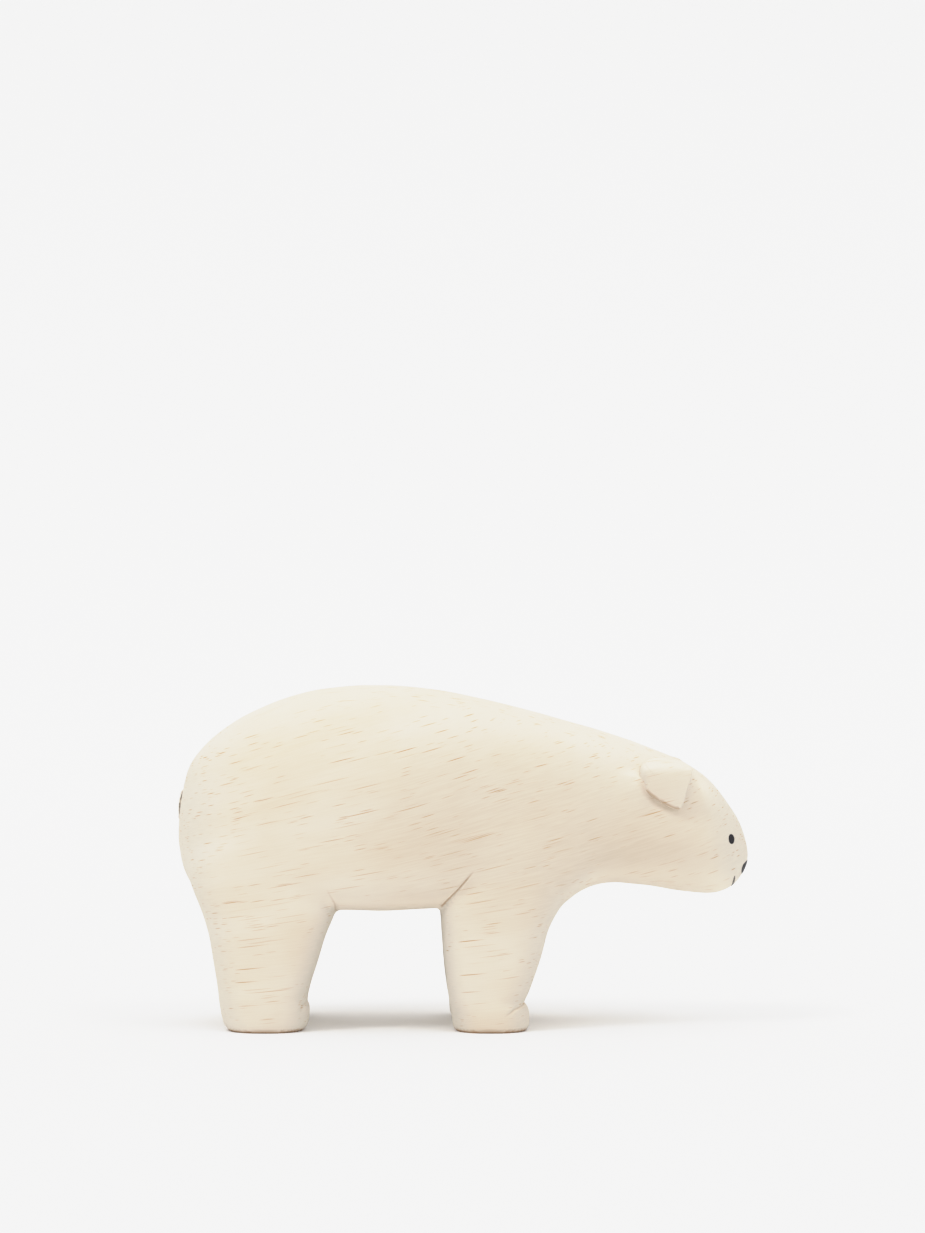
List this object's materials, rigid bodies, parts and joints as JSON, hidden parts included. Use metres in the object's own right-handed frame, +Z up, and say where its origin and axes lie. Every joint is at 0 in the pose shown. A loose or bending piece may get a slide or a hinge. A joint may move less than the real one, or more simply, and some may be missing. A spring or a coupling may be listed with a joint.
{
  "type": "carved wooden bear figurine",
  "caption": "Pale limewashed polar bear carved from one block of light wood, standing on flat-soled legs with lowered head, small glued ears and tail, painted eyes, nose and smile.",
  "frame": {"origin": "on the surface the bear stands on, midway between tail and nose, on the bear's middle plane", "axes": "+X from tail to nose, +Y towards the bear's left side, +Z up"},
  "size_m": [0.1499, 0.0554, 0.0887],
  "materials": {
    "limewashed_wood": "matte, sanded and limewashed, fine open pores",
    "black_paint": "matte brushed-on paint"
  },
  "bodies": {
    "root": {"body": "limewashed_wood", "left_ear": "limewashed_wood", "right_ear": "limewashed_wood", "tail": "limewashed_wood", "left_eye": "black_paint", "right_eye": "black_paint", "nose": "black_paint", "mouth": "black_paint"}
  },
  "joints": []
}
